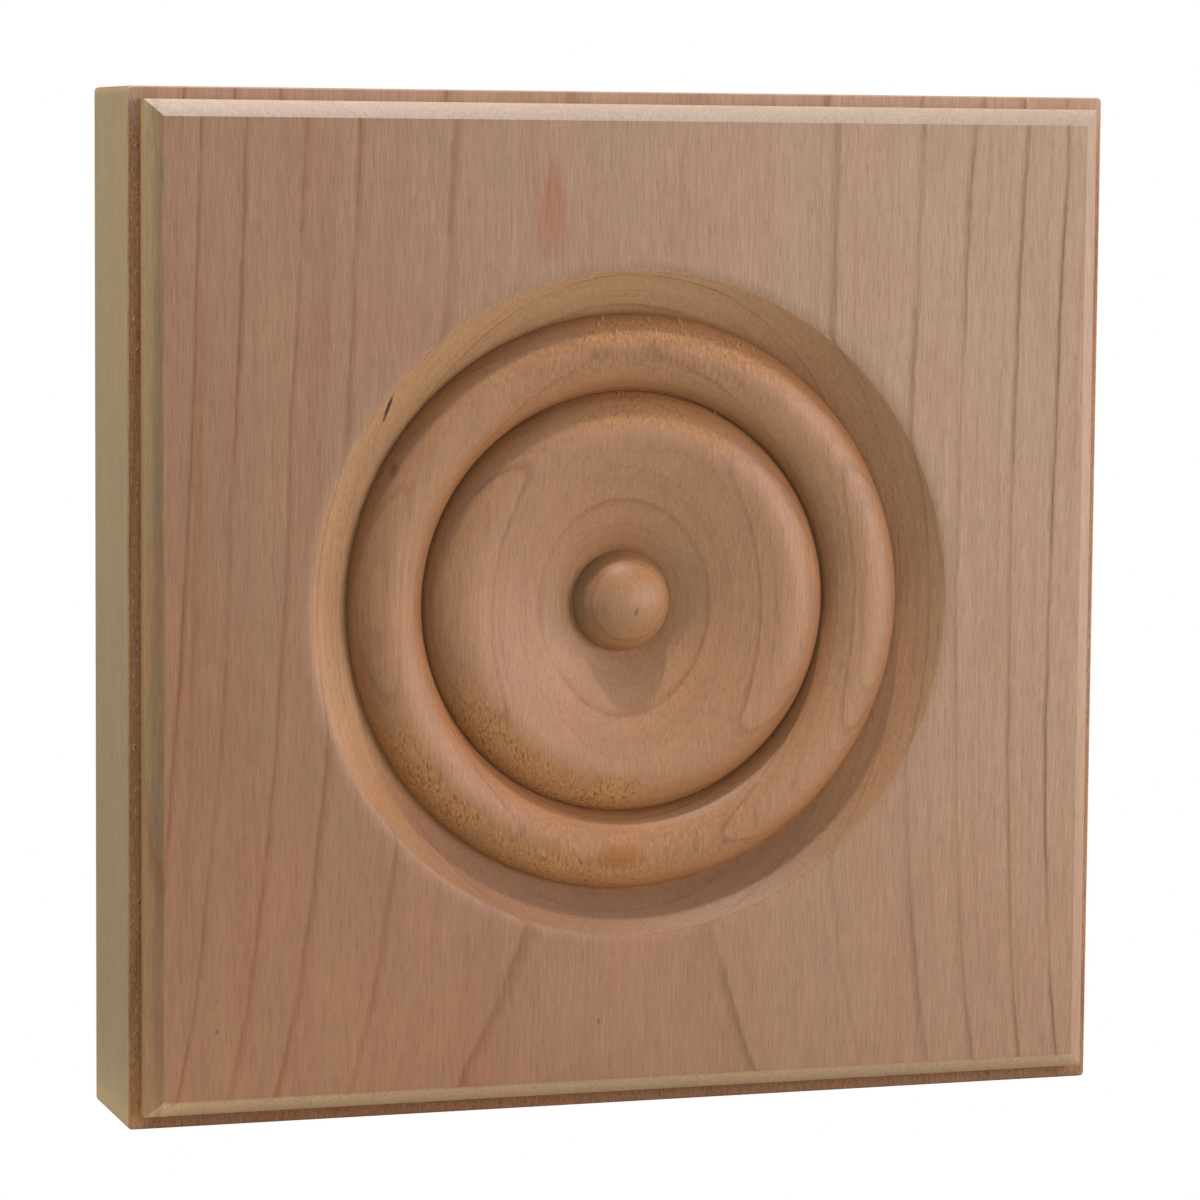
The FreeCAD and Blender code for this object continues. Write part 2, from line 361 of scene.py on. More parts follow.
# the two ways in which it tore: direction, where the tear begins and is full, its share
LOW_LEFT, TOP = (-0.5, 0, -0.866), (0.16, 0, 0.987)
against = 0.0
for way, wide, narrow, most in ((LOW_LEFT, 0.7, 0.95, 1.0), (TOP, 0.84, 0.97, 0.6)):
    towards = add(wood, "ShaderNodeVectorMath", {"operation": "DOT_PRODUCT"}, {0: outward, 1: way}, out="Value")
    towards = add(wood, "ShaderNodeMapRange", SMOOTH,
                  {"Value": towards, "From Min": wide, "From Max": narrow, "To Max": most})
    against = add(wood, "ShaderNodeMath", {"operation": "ADD"}, {0: towards, 1: against})
torn = add(wood, "ShaderNodeMath", {"operation": "MULTIPLY"}, {0: slope, 1: against})
torn = add(wood, "ShaderNodeMath", {"operation": "MULTIPLY"}, {0: torn, 1: in_rosette})
past_button = add(wood, "ShaderNodeMapRange", inputs={"Value": radius, "From Min": 10.0, "From Max": 16.0})
torn = add(wood, "ShaderNodeMath", {"operation": "MULTIPLY"}, {0: torn, 1: past_button})
uneven = add(wood, "ShaderNodeMapRange", SMOOTH,
             {"Value": noise["patch"], "From Min": 0.32, "From Max": 0.56, "To Min": 0.4})
torn = add(wood, "ShaderNodeMath", {"operation": "MULTIPLY"}, {0: torn, 1: uneven})
print("torn places: nodes so far", len(wood.nodes))

# %% The crown of the ring
upward = add(wood, "ShaderNodeVectorMath", {"operation": "DOT_PRODUCT"}, {0: outward, 1: (0, 0, 1)}, out="Value")
plumb = add(wood, "ShaderNodeMath", {"operation": "ABSOLUTE"}, {0: upward})
plumb = add(wood, "ShaderNodeMapRange", SMOOTH, {"Value": plumb, "From Min": 0.74, "From Max": 0.95})
crown = add(wood, "ShaderNodeMath", {"operation": "SUBTRACT"}, {0: radius, 1: RING_CREST[0]})
crown = add(wood, "ShaderNodeMath", {"operation": "ABSOLUTE"}, {0: crown})
crown = add(wood, "ShaderNodeMapRange", SMOOTH, {"Value": crown, "From Min": 4.0, "From Max": 1.5})
crown = add(wood, "ShaderNodeMath", {"operation": "MULTIPLY"}, {0: crown, 1: plumb})
crown = add(wood, "ShaderNodeMath", {"operation": "MULTIPLY"}, {0: crown, 1: in_rosette})
print("crown strokes lie around", RING_CREST[0], "mm from the middle")

# %% The two ends of the band
# At the bottom of the rosette the hollow band is darkened: painted shadow of the ring. At the upper left it is
# lightened: painted light from above and the left.
band_foot_painted_shadow = add(wood, "ShaderNodeMapRange", SMOOTH,
                {"Value": upward, "From Min": -0.55, "From Max": -0.92, "To Max": 0.5})
on_band = add(wood, "ShaderNodeMapRange", SMOOTH,
              {"Value": radius, "From Min": OUTER_GROOVE[0] - 0.2, "From Max": OUTER_GROOVE[0] + 0.8})
on_band = add(wood, "ShaderNodeMath", {"operation": "MULTIPLY"}, {0: on_band, 1: in_rosette})
band_foot_painted_shadow = add(wood, "ShaderNodeMath", {"operation": "MULTIPLY"}, {0: band_foot_painted_shadow, 1: on_band})
band_head_painted_light = add(wood, "ShaderNodeVectorMath", {"operation": "DOT_PRODUCT"}, {0: outward, 1: (-0.7, 0, 0.7)},
                out="Value")
band_head_painted_light = add(wood, "ShaderNodeMapRange", SMOOTH,
                {"Value": band_head_painted_light, "From Min": 0.0, "From Max": 0.6, "To Max": 0.5})
band_head_painted_light = add(wood, "ShaderNodeMath", {"operation": "MULTIPLY"}, {0: band_head_painted_light, 1: on_band})
print("band from", OUTER_GROOVE[0], "to", LIP[0], "mm")

# %% The rough step and the pale rounds
# The edge cutter left the step rough, most of all where it ran along the grain. Across the grain, at the top and
# the bottom, it left the round pale. The top and bottom sides behind it are plain sawn ends.
farther = add(wood, "ShaderNodeVectorMath", {"operation": "ABSOLUTE"}, {0: mm})
farther = add(wood, "ShaderNodeSeparateXYZ", inputs={0: farther}, out=None).outputs
farther = add(wood, "ShaderNodeMath", {"operation": "MAXIMUM"}, {0: farther["X"], 1: farther["Z"]})
on_step = add(wood, "ShaderNodeMapRange", SMOOTH,
              {"Value": farther, "From Min": step_root - 0.55, "From Max": step_root - 0.15})
front = add(wood, "ShaderNodeMapRange", SMOOTH,
            {"Value": facing["Y"], "From Min": -0.5, "From Max": -0.9})
step_front = add(wood, "ShaderNodeMath", {"operation": "MULTIPLY"}, {0: on_step, 1: front})
lower = add(wood, "ShaderNodeMapRange",
            inputs={"Value": xyz["Z"], "From Min": 52.0, "From Max": 55.0, "To Min": 0.55, "To Max": 0.1})
rough_step = add(wood, "ShaderNodeMath", {"operation": "MULTIPLY"}, {0: step_front, 1: lower})
top_step = add(wood, "ShaderNodeMapRange",
               inputs={"Value": xyz["Z"], "From Min": 52.0, "From Max": 55.0, "To Max": 0.6})
top_step = add(wood, "ShaderNodeMath", {"operation": "MULTIPLY"}, {0: step_front, 1: top_step})
rough = add(wood, "ShaderNodeMath", {"operation": "MAXIMUM"}, {0: rough_step, 1: torn})
pale = add(wood, "ShaderNodeMapRange", SMOOTH,
           {"Value": across_grain, "From Min": 0.2, "From Max": 0.5})
at_edge = add(wood, "ShaderNodeMapRange", SMOOTH,
              {"Value": farther, "From Min": face_edge - 0.5, "From Max": face_edge + 0.1})
pale = add(wood, "ShaderNodeMath", {"operation": "MULTIPLY"}, {0: pale, 1: at_edge})
sawn_end = add(wood, "ShaderNodeMath", {"operation": "MULTIPLY"}, {0: pale, 1: behind_step})
pale = add(wood, "ShaderNodeMath", {"operation": "SUBTRACT"}, {0: pale, 1: sawn_end})
print("rough step, rounds and sawn ends: nodes so far", len(wood.nodes))

# %% [markdown]
# ## Colour, from the board to its smallest specks
# Wood is coloured in layers: the plain tan of the board, then the lines of the years, then pores and specks. Each
# layer is one mix over the one before, with a mask for where it lies, so a layer can be turned up or down alone.

# %% The colour of the board, with painted sheen
# Paler and greyer towards the upper right, redder towards the lower left: painted sheen of the lamps at the right.
RGBA = {"data_type": "RGBA"}
corner = add(wood, "ShaderNodeMath", {"operation": "MULTIPLY_ADD"}, {0: xyz["Z"], 1: 0.75, 2: xyz["X"]})
corner = add(wood, "ShaderNodeMapRange", inputs={"Value": corner, "From Min": -60.0, "From Max": 60.0})
tone = add(wood, "ShaderNodeMix", RGBA, {0: corner, 6: colour("#966744"), 7: colour("#AB8669")}, out=2)
blotch = add(wood, "ShaderNodeMapRange",
             inputs={"Value": noise["blush"], "From Min": 0.42, "From Max": 0.68, "To Max": 0.6})
leftish = add(wood, "ShaderNodeMapRange", inputs={"Value": corner, "To Min": 0.85, "To Max": 0.2})
blotch = add(wood, "ShaderNodeMath", {"operation": "MULTIPLY"}, {0: blotch, 1: leftish})
tone = add(wood, "ShaderNodeMix", RGBA, {0: blotch, 6: tone, 7: colour("#A4694A")}, out=2)
olive = add(wood, "ShaderNodeMapRange",
            inputs={"Value": noise["streak"], "From Min": 0.48, "From Max": 0.66, "To Max": 0.16})
tone = add(wood, "ShaderNodeMix", RGBA, {0: olive, 6: tone, 7: colour("#97754C")}, out=2)
print("board tone: nodes so far", len(wood.nodes))

# %% Where it was cut
# The rosette is warmer: painted warm light, for the light that its hollows throw back on each other.
# End grain is darker. The flat sides are yellower: painted greenish light from the left.
painted_warm_light = add(wood, "ShaderNodeMath", {"operation": "MULTIPLY"}, {0: in_rosette, 1: 0.6})
tone = add(wood, "ShaderNodeMix", RGBA, {0: painted_warm_light, 6: tone, 7: colour("#A87245")}, out=2)
ends = add(wood, "ShaderNodeMath", {"operation": "MULTIPLY"}, {0: end_grain, 1: in_rosette})
ends = add(wood, "ShaderNodeMath", {"operation": "MAXIMUM"}, {0: ends, 1: crown})
end_share = add(wood, "ShaderNodeMath", {"operation": "MULTIPLY"}, {0: ends, 1: 0.45})
tone = add(wood, "ShaderNodeMix", RGBA, {0: end_share, 6: tone, 7: colour("#9B6435")}, out=2)
# painted shadow on the foot of the band, and painted light on its head
tone = add(wood, "ShaderNodeMix", RGBA, {0: band_foot_painted_shadow, 6: tone, 7: colour("#7A583F")}, out=2)
tone = add(wood, "ShaderNodeMix", RGBA, {0: band_head_painted_light, 6: tone, 7: colour("#BE956A")}, out=2)
end_share = add(wood, "ShaderNodeMath", {"operation": "MULTIPLY"}, {0: sawn_end, 1: 0.9})
tone = add(wood, "ShaderNodeMix", RGBA, {0: end_share, 6: tone, 7: colour("#6B4426")}, out=2)
# the pale rounds are lighter at the bottom, painted light from below, and darker at the top, painted shade against the
# lamps overhead
rise = add(wood, "ShaderNodeMapRange", inputs={"Value": xyz["Z"], "From Min": -50.0, "From Max": 50.0})
pale_round_and_painted_light = add(wood, "ShaderNodeMix", RGBA, {0: rise, 6: colour("#BE9C76"), 7: colour("#A28A7A")}, out=2)
pale_share = add(wood, "ShaderNodeMath", {"operation": "MULTIPLY"}, {0: pale, 1: 0.9})
sideways = add(wood, "ShaderNodeMath", {"operation": "ABSOLUTE"}, {0: facing["X"]})
# the flat sides are mixed towards yellow-olive: painted greenish light of the lamps at the left
side_painted_tint = add(wood, "ShaderNodeMath", {"operation": "MULTIPLY"}, {0: sideways, 1: behind_step})
side_painted_tint = add(wood, "ShaderNodeMath", {"operation": "MULTIPLY"}, {0: side_painted_tint, 1: 0.7})
tone = add(wood, "ShaderNodeMix", RGBA, {0: side_painted_tint, 6: tone, 7: colour("#96724C")}, out=2)
tone = add(wood, "ShaderNodeMix", RGBA, {0: pale_share, 6: tone, 7: pale_round_and_painted_light}, out=2)
tone = add(wood, "ShaderNodeMix", RGBA, {0: top_step, 6: tone, 7: colour("#BC9276")}, out=2)
print("cut surfaces: nodes so far", len(wood.nodes))

# %% Ring lines over it
# The lines come and go, are broken up by pores, and are calmer on the sides, the pale rounds and the rosette.
line_share = add(wood, "ShaderNodeMath", {"operation": "MULTIPLY"}, {0: late, 1: 0.95})
hints = add(wood, "ShaderNodeMapRange", inputs={"Value": in_rosette, "To Min": 0.12, "To Max": 0.24})
line_share = add(wood, "ShaderNodeMath", {"operation": "MULTIPLY_ADD"}, {0: faint, 1: hints, 2: line_share})
comes_and_goes = add(wood, "ShaderNodeMapRange", SMOOTH,
                     {"Value": noise["fade"], "From Min": 0.3, "From Max": 0.6, "To Min": 0.45, "To Max": 1.05})
line_share = add(wood, "ShaderNodeMath", {"operation": "MULTIPLY"}, {0: line_share, 1: comes_and_goes})
calm = add(wood, "ShaderNodeMapRange", inputs={"Value": sideways, "From Min": 0.6, "To Min": 1.0, "To Max": 0.15})
line_share = add(wood, "ShaderNodeMath", {"operation": "MULTIPLY"}, {0: line_share, 1: calm})
dashed = add(wood, "ShaderNodeMapRange",
             inputs={"Value": noise["pore"], "From Min": 0.35, "From Max": 0.65, "To Min": 0.85, "To Max": 1.2})
line_share = add(wood, "ShaderNodeMath", {"operation": "MULTIPLY"}, {0: line_share, 1: dashed})
calm = add(wood, "ShaderNodeMapRange", inputs={"Value": pale, "To Min": 1.0, "To Max": 0.15})
line_share = add(wood, "ShaderNodeMath", {"operation": "MULTIPLY"}, {0: line_share, 1: calm})
calm = add(wood, "ShaderNodeMapRange", inputs={"Value": in_rosette, "To Min": 1.0, "To Max": 0.75})
line_share = add(wood, "ShaderNodeMath", {"operation": "MULTIPLY"}, {0: line_share, 1: calm})
from_left = add(wood, "ShaderNodeMapRange", inputs={"Value": xyz["X"], "From Min": -45.0, "From Max": 25.0})
line_tone = add(wood, "ShaderNodeMix", RGBA, {0: from_left, 6: colour("#84441C"), 7: colour("#704A20")}, out=2)
# in the rosette the lines take the same painted warm light
line_tone = add(wood, "ShaderNodeMix", RGBA, {0: painted_warm_light, 6: line_tone, 7: colour("#7E431C")}, out=2)
tone = add(wood, "ShaderNodeMix", RGBA, {0: line_share, 6: tone, 7: line_tone}, out=2)
print("ring lines: nodes so far", len(wood.nodes))

# %% Pores, strokes and torn specks over that
pores = add(wood, "ShaderNodeMapRange", SMOOTH,
            {"Value": noise["pore"], "From Min": 0.52, "From Max": 0.68, "To Max": 0.24})
tone = add(wood, "ShaderNodeMix", RGBA, {0: pores, 6: tone, 7: colour("#5E3C24")}, out=2)
torn_share = add(wood, "ShaderNodeMath", {"operation": "MULTIPLY"}, {0: rough, 1: 0.75})
tone = add(wood, "ShaderNodeMix", RGBA, {0: torn_share, 6: tone, 7: colour("#B0743A")}, out=2)
# noise, its value where there is none and where there is most, where, share, colour
SPECKS = [("stroke", 0.48, 0.36, crown, 0.32, "#7A4518"), ("stroke", 0.54, 0.66, crown, 0.25, "#C28E4C"),
          ("grit", 0.48, 0.34, rough, 0.7, "#54300F"), ("grit", 0.54, 0.68, rough, 0.4, "#C49A60")]
for name, none, full, where, share, hex_code in SPECKS:
    speck = add(wood, "ShaderNodeMapRange", SMOOTH,
                {"Value": noise[name], "From Min": none, "From Max": full, "To Max": share})
    speck = add(wood, "ShaderNodeMath", {"operation": "MULTIPLY"}, {0: speck, 1: where})
    tone = add(wood, "ShaderNodeMix", RGBA, {0: speck, 6: tone, 7: colour(hex_code)}, out=2)
print("specks:", len(SPECKS), "kinds")

# %% [markdown]
# ## Marks of this one block
# Every board has its own streaks, cracks and spots. This one has red streaks at the left, a small crack in the
# band, a golden spot at the foot of the ring and a few pin knots. A dark strip along the left round is painted shade.
# Each is a leaning ellipse with a ragged rim. A table of ellipses is easier to read and change than paint.

# %% Marks
# mm from the centre, half width, half height, lean to the right per mm of rise, share, colour
MARKS = [(-50.4, 4.0, 0.7, 44.0, 0.03, 0.5, "#94562E"), (-28.5, 22.3, 0.33, 1.9, 0.3, 1.0, "#381A0A"),
         (-27.6, 15.3, 0.45, 1.2, 0.1, 0.5, "#6E3A18"), (-10.0, 44.0, 2.6, 6.5, 0.0, 0.5, "#A05C38"),
         (-1.5, -28.4, 3.6, 1.7, 0.0, 1.0, "#98580F"), (-36.5, 30.0, 1.6, 26.0, 0.06, 0.25, "#8C5234"),
         (-4.0, -47.0, 0.3, 0.4, 0.0, 0.6, "#5E3A24"), (-48.0, -46.0, 0.2, 0.25, 0.0, 0.7, "#4E2E1C"),
         # the last mark is painted shade: a dark strip along the left round, next to the face
         (0.4, -0.9, 0.3, 0.7, 0.2, 0.6, "#5E3C22"), (-54.5, 0.0, 0.75, 90.0, 0.0, 0.42, "#6A4A2C")]
open_front = add(wood, "ShaderNodeMapRange", inputs={"Value": facing["Y"], "From Min": -0.3, "From Max": -0.6})
for x, z, half_width, half_height, lean, share, hex_code in MARKS:
    rise = add(wood, "ShaderNodeMath", {"operation": "SUBTRACT"}, {0: xyz["Z"], 1: z})
    shift = add(wood, "ShaderNodeMath", {"operation": "MULTIPLY_ADD"}, {0: rise, 1: -lean, 2: xyz["X"]})
    shift = add(wood, "ShaderNodeMath", {"operation": "SUBTRACT"}, {0: shift, 1: x})
    away = add(wood, "ShaderNodeCombineXYZ", inputs={0: shift, 1: rise})
    shrink = (1 / half_width, 1 / half_height, 0)
    away = add(wood, "ShaderNodeVectorMath", {"operation": "MULTIPLY"}, {0: away, 1: shrink})
    away = add(wood, "ShaderNodeVectorMath", {"operation": "LENGTH"}, {0: away}, out="Value")
    away = add(wood, "ShaderNodeMath", {"operation": "MULTIPLY_ADD"}, {0: noise["thread"], 1: 0.8, 2: away})
    mark = add(wood, "ShaderNodeMapRange", SMOOTH,
               {"Value": away, "From Min": 1.5, "From Max": 0.7, "To Max": share})
    mark = add(wood, "ShaderNodeMath", {"operation": "MULTIPLY"}, {0: mark, 1: open_front})
    tone = add(wood, "ShaderNodeMix", RGBA, {0: mark, 6: tone, 7: colour(hex_code)}, out=2)
print("marks:", len(MARKS))

# %% Small swings of light and dark along the fibres
value = 1.0
for name, swing in (("fibre", 0.32), ("thread", 0.18), ("streak", 0.08)):
    part = add(wood, "ShaderNodeMapRange", inputs={"Value": noise[name], "From Min": 0.25, "From Max": 0.75,
                                                   "To Min": 1 - swing / 2, "To Max": 1 + swing / 2})
    value = add(wood, "ShaderNodeMath", {"operation": "MULTIPLY"}, {0: part, 1: value})
tone = add(wood, "ShaderNodeHueSaturation", inputs={"Value": value, "Color": tone})
print("colour done: nodes so far", len(wood.nodes))

# %% [markdown]
# ## Sheen and relief
# The sanded face has a soft sheen, and the torn places and the sawn ends are dull. Fine fibres, turning marks and
# torn specks stand up a few hundredths of a millimetre. That is far too fine for the mesh, so a bump tilts the
# light on the surface instead.

# %% Sheen and relief
TURNING_PITCH = 0.6
fuzzy = add(wood, "ShaderNodeMath", {"operation": "MULTIPLY_ADD"}, {0: sawn_end, 1: 1.5, 2: rough})
dull = add(wood, "ShaderNodeMapRange", {"clamp": False}, {"Value": fuzzy, "To Min": 0.52, "To Max": 0.8})
turning = add(wood, "ShaderNodeMath", {"operation": "MULTIPLY"}, {0: radius, 1: 2 * math.pi / TURNING_PITCH})
turning = add(wood, "ShaderNodeMath", {"operation": "MULTIPLY_ADD"}, {0: noise["patch"], 1: 5.0, 2: turning})
turning = add(wood, "ShaderNodeMath", {"operation": "SINE"}, {0: turning})
turning = add(wood, "ShaderNodeMath", {"operation": "MULTIPLY"}, {0: turning, 1: in_rosette})
turning = add(wood, "ShaderNodeMath", {"operation": "MULTIPLY"}, {0: turning, 1: 0.12})
height = add(wood, "ShaderNodeMath", {"operation": "MULTIPLY"}, {0: noise["grit"], 1: rough})
height = add(wood, "ShaderNodeMath", {"operation": "MULTIPLY_ADD"}, {0: height, 1: 5.0, 2: noise["fibre"]})
height = add(wood, "ShaderNodeMath", {"operation": "ADD"}, {0: height, 1: turning})
relief = add(wood, "ShaderNodeBump", inputs={"Strength": 0.35, "Distance": 0.00006, "Height": height})
surface = add(wood, "ShaderNodeBsdfPrincipled",
              inputs={"Base Color": tone, "Roughness": dull, "Normal": relief, "IOR": 1.5, "Specular IOR Level": 0.6})
add(wood, "ShaderNodeOutputMaterial", inputs={"Surface": surface}, out=None)
print("cherry:", len(wood.nodes), "nodes")

# %% Grow the block
section = bpy.data.meshes.new("section")
section.from_pydata([(size / 1000, k, depth / 1000) for size, k, depth, lift, corner in rows], [], [])
section.attributes.new("lift", "FLOAT", "POINT").data.foreach_set("value", [r[3] for r in rows])
section.attributes.new("corner", "FLOAT", "POINT").data.foreach_set("value", [r[4] for r in rows])
block = grown("cherry_block", section, sweep,
              {"Columns": COLUMNS, "Corner Crowding": CROWDING, "Thickness": THICKNESS / 1000,
               "Corner Ease": CORNER_EASE / 1000, "Lower Lift": LOWER_LIFT / 1000, "Wood": cherry})
block.data.shade_smooth()
block.data.set_sharp_from_angle(angle=math.radians(24))
print("block:", len(block.data.vertices), "points,", sum(len(p.vertices) - 2 for p in block.data.polygons), "triangles")
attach(block, "root")
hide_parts("rosette_block")

# %% [markdown]
# ## Torn fibres
# Where the cutters ran against the grain they lifted small slivers of wood: along the rough step, and in the torn
# crescents of the rosette. They are too small to cut into the solid but they catch the light. Geometry Nodes scatter
# them over the skin that was just made: a number on each point says how torn the wood is there, and each sliver is a
# three-sided spike, nearly parallel to the grain, with its foot in the surface.

# %% Where the wood is torn
def tornness(x, y, z):
    """How torn the wood is at a point in mm, from 0 to 1."""
    size = max(abs(x), abs(z))
    # the top step was cut clean, and no cut reaches further back than this
    if z > HALF - 1.6 or y > -15.0:
        return 0.0
    if size > step_root + 0.1:
        on_the_step = size < HALF - 0.4 and y < step_level + 0.05
        return (0.8 if x < -step_root else 0.45) if on_the_step else 0.0
    r = math.hypot(x, z)
    outward_slope = RIM_CREST[0] + 1 < r < INNER_GROOVE[0] - 0.3 or RING_CREST[0] + 0.8 < r < OUTER_GROOVE[0] - 0.3
    low_left, top = ((way[0] * x + way[2] * z) / max(r, 1) for way in (LOW_LEFT, TOP))
    return (0.12 if low_left > 0.86 or top > 0.95 else 0.0) if outward_slope else 0.0


torn_at = [tornness(*(point.co * 1000)) for point in block.data.vertices]
print("torn points:", sum(t > 0 for t in torn_at))

# %% Scatter the slivers
DENSITY, SEED = 3.0, 7
SLIVER_LENGTH, SLIVER_THICKNESS = 0.0008, 0.00007
scatter = new_tree("torn_fibres", [
    ("Per Square Millimetre", "NodeSocketFloat", DENSITY),
    ("Length", "NodeSocketFloat", SLIVER_LENGTH),
    ("Thickness", "NodeSocketFloat", SLIVER_THICKNESS),
    ("Seed", "NodeSocketInt", SEED),
    ("Wood", "NodeSocketMaterial", None),
])
given = add(scatter, "NodeGroupInput", out=None).outputs
share = add(scatter, "GeometryNodeInputNamedAttribute", {"data_type": "FLOAT"}, {"Name": "torn"}, out="Attribute")
dense = add(scatter, "ShaderNodeMath", {"operation": "MULTIPLY"}, {0: given["Per Square Millimetre"], 1: 1e6})
dense = add(scatter, "ShaderNodeMath", {"operation": "MULTIPLY"}, {0: dense, 1: share})
spots = add(scatter, "GeometryNodeDistributePointsOnFaces", {"distribute_method": "RANDOM"},
            {"Mesh": given["Geometry"], "Density": dense, "Seed": given["Seed"]}, out="Points")
spike = add(scatter, "GeometryNodeMeshCone", {"fill_type": "NGON"},
            {"Vertices": 3, "Radius Top": 0.0, "Radius Bottom": given["Thickness"], "Depth": given["Length"]},
            out="Mesh")
# each sliver leans at random, in radians about X, Y and Z, and has its own size
lean = add(scatter, "FunctionNodeRandomValue", {"data_type": "FLOAT_VECTOR"},
           {0: (-0.3, -0.35, -3.1), 1: (0.3, 0.35, 3.1), "Seed": given["Seed"]}, out=0)
grow = add(scatter, "FunctionNodeRandomValue", {"data_type": "FLOAT"}, {2: 0.5, 3: 1.2, "Seed": given["Seed"]}, out=1)
slivers = add(scatter, "GeometryNodeInstanceOnPoints",
              inputs={"Points": spots, "Instance": spike, "Rotation": lean, "Scale": grow})
slivers = add(scatter, "GeometryNodeRealizeInstances", inputs={"Geometry": slivers})
slivers = add(scatter, "GeometryNodeSetMaterial", inputs={"Geometry": slivers, "Material": given["Wood"]})
add(scatter, "NodeGroupOutput", inputs={"Geometry": slivers}, out=None)
print("scattering tree:", len(scatter.nodes), "nodes")

# %% Bare torn fibre
# Freshly lifted cherry is pale straw and quite dull; the two tones keep the slivers from looking like one paint.
straw = bpy.data.materials.new("cherry_torn_fibre")
straw.use_nodes = True
fuzz = straw.node_tree
fuzz.nodes.clear()
spot = add(fuzz, "ShaderNodeTexCoord", out="Object")
mottle = add(fuzz, "ShaderNodeTexNoise", inputs={"Vector": spot, "Scale": 900.0, "Detail": 1.0})
tone = add(fuzz, "ShaderNodeMix", RGBA, {0: mottle, 6: colour("#8E6636"), 7: colour("#D9BC92")}, out=2)
surface = add(fuzz, "ShaderNodeBsdfPrincipled", inputs={"Base Color": tone, "Roughness": 0.85})
add(fuzz, "ShaderNodeOutputMaterial", inputs={"Surface": surface}, out=None)
print("torn fibre:", len(fuzz.nodes), "nodes")

# %% Grow the slivers
torn_skin = block.data.copy()
torn_skin.attributes.new("torn", "FLOAT", "POINT").data.foreach_set("value", torn_at)
fibres = grown("torn_fibres", torn_skin, scatter,
               {"Per Square Millimetre": DENSITY, "Length": SLIVER_LENGTH, "Thickness": SLIVER_THICKNESS,
                "Seed": SEED, "Wood": straw})
print("slivers:", len(fibres.data.vertices) // 4)
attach(fibres, "root")

# %% [markdown]
# ## The studio
# Catalogue pictures of mouldings are taken on a white table in front of white paper. A small lamp overhead, just in
# front of the face, rakes down it and draws the rings of the rosette. Broad soft boxes at the right fill them and
# give the sanded wood its pale sheen. Two greenish ones light the left side, and the room adds a cool even light.
# The table ends beside the left side, so that no light comes up to it from below. The paper is so bright that the
# camera sees plain white.

# %% Table
def sheet(name, half, left, height):
    """A level sheet from left to half across, and half to both sides in depth, in metres."""
    mesh = bpy.data.meshes.new(name)
    corners = [(left, -half, height), (half, -half, height), (half, half, height), (left, half, height)]
    mesh.from_pydata(corners, [], [(0, 1, 2, 3)])
    piece = bpy.data.objects.new(name, mesh)
    bpy.context.scene.collection.objects.link(piece)
    return piece


white = bpy.data.materials.new("white_table")
white.use_nodes = True
white.node_tree.nodes["Principled BSDF"].inputs["Base Color"].default_value = colour("#C6C6C2")
white.node_tree.nodes["Principled BSDF"].inputs["Roughness"].default_value = 0.8
table = sheet("table", half=2.0, left=-0.062, height=-HALF / 1000)
table.data.materials.append(white)
table.visible_camera = False
print("table at height, mm:", -HALF)

# %% Paper
glow = bpy.data.materials.new("bright_paper")
glow.use_nodes = True
glow.node_tree.nodes.clear()
lit = add(glow.node_tree, "ShaderNodeEmission", inputs={"Color": (1, 1, 1, 1), "Strength": 1.0})
add(glow.node_tree, "ShaderNodeOutputMaterial", inputs={"Surface": lit}, out=None)
dome = bpy.data.meshes.new("paper")
shell = bmesh.new()
bmesh.ops.create_uvsphere(shell, u_segments=32, v_segments=16, radius=4.0)
shell.to_mesh(dome)
shell.free()
dome.materials.append(glow)
paper = bpy.data.objects.new("paper", dome)
bpy.context.scene.collection.objects.link(paper)
paper.visible_diffuse = paper.visible_glossy = paper.visible_transmission = paper.visible_shadow = False
print("paper dome:", len(dome.polygons), "faces")

# %% Lights
def soft_box(name, place, width, height, watts, tint):
    """A square-cornered lamp that looks at the middle of the face."""
    lamp = bpy.data.lights.new(name, "AREA")
    lamp.shape = "RECTANGLE"
    lamp.size, lamp.size_y, lamp.energy = width, height, watts
    lamp.color = tint
    light = bpy.data.objects.new(name, lamp)
    light.location = place
    light.rotation_euler = (Vector((0, -0.02, 0)) - Vector(place)).to_track_quat("-Z", "Y").to_euler()
    bpy.context.scene.collection.objects.link(light)


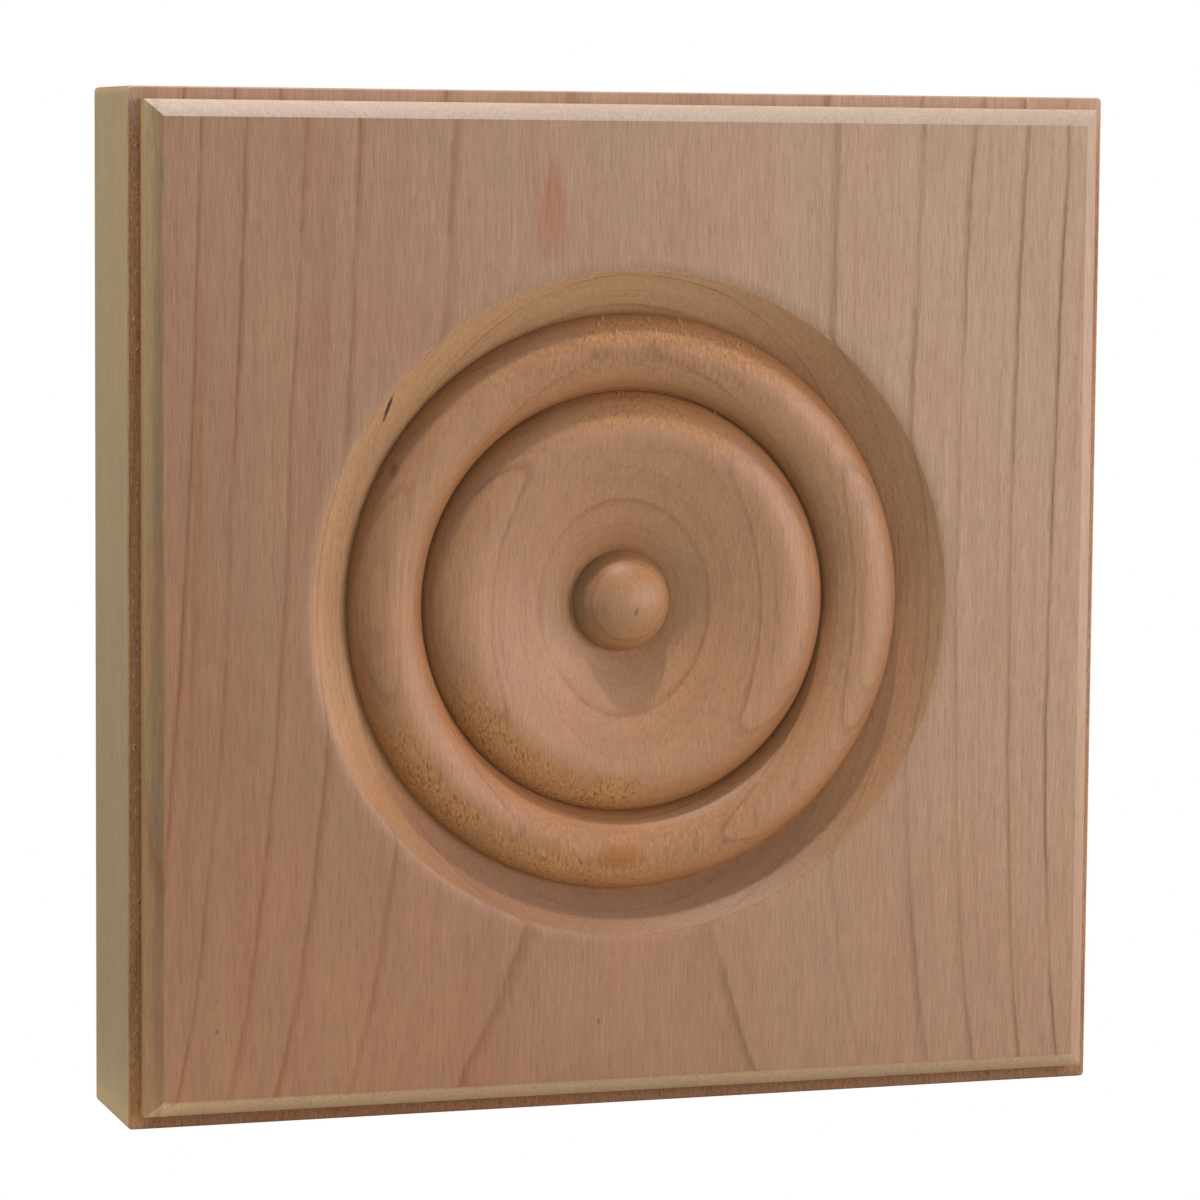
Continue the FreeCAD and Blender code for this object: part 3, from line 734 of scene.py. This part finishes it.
# name, place and size in metres, watts, tint
LIGHTS = [("overhead", (-0.06, -0.138, 0.842), 0.045, 0.045, 4.6, (1, 0.97, 0.92)),
          ("overhead_behind", (0.0, 0.2, 0.82), 0.5, 0.4, 2.0, (1, 0.99, 0.9)),
          ("overhead_front", (0.0, -0.33, 0.8), 0.4, 0.3, 0.5, (1, 0.98, 0.95)),
          ("right_front", (0.6, -0.6, 0.1), 0.4, 0.5, 4.3, (1, 0.91, 0.95)),
          ("right", (0.85, 0.0, 0.15), 0.4, 0.5, 2.2, (0.97, 0.98, 1)),
          ("left", (-0.85, 0.0, 0.15), 0.4, 0.5, 2.3, (0.72, 1, 0.7)),
          ("left_above", (-0.35, 0.1, 0.35), 0.25, 0.25, 1.6, (0.94, 1, 0.6))]
for lamp in LIGHTS:
    soft_box(*lamp)
room = bpy.data.worlds.new("white_room")
room.use_nodes = True
room.node_tree.nodes["Background"].inputs["Color"].default_value = (0.65, 0.82, 1, 1)
room.node_tree.nodes["Background"].inputs["Strength"].default_value = 0.5
bpy.context.scene.world = room
bpy.context.scene.view_settings.view_transform = "Standard"
print("lights:", [lamp[0] for lamp in LIGHTS])

# %% [markdown]
# ## The camera
# A long lens stands half a metre away, a little above the middle and to the left, so that the left side shows. The
# angles and the distance were found by fitting the corners of the block. A camera is easier to place by these few
# numbers than by hand: they give its three directions, and these make its matrix.

# %% Camera
FOCAL_PIXELS, IMAGE_WIDTH, SENSOR = 4653.239, 1200, 36
AZIMUTH, ELEVATION, ROLL, DISTANCE = -17.949, 5.444, 0.479, 541.329
AIM = Vector((2.447, 0.0, -1.41))
a, e, r = (math.radians(v) for v in (AZIMUTH, ELEVATION, ROLL))
back_way = Vector((math.sin(a) * math.cos(e), -math.cos(a) * math.cos(e), math.sin(e)))
right_way = (-back_way).cross(Vector((0, 0, 1))).normalized()
up_way = right_way.cross(-back_way)
right_way, up_way = math.cos(r) * right_way + math.sin(r) * up_way, -math.sin(r) * right_way + math.cos(r) * up_way
stand = (AIM + back_way * DISTANCE) / 1000
lens = bpy.data.cameras.new("camera")
lens.lens = FOCAL_PIXELS * SENSOR / IMAGE_WIDTH
lens.clip_start, lens.clip_end = 0.01, 20
camera = bpy.data.objects.new("camera", lens)
camera.matrix_world = Matrix([[right_way[i], up_way[i], back_way[i], stand[i]] for i in range(3)] + [[0, 0, 0, 1]])
bpy.context.scene.collection.objects.link(camera)
bpy.context.scene.camera = camera
print("camera at, m:", [round(v, 3) for v in stand], "lens, mm:", round(lens.lens, 1))
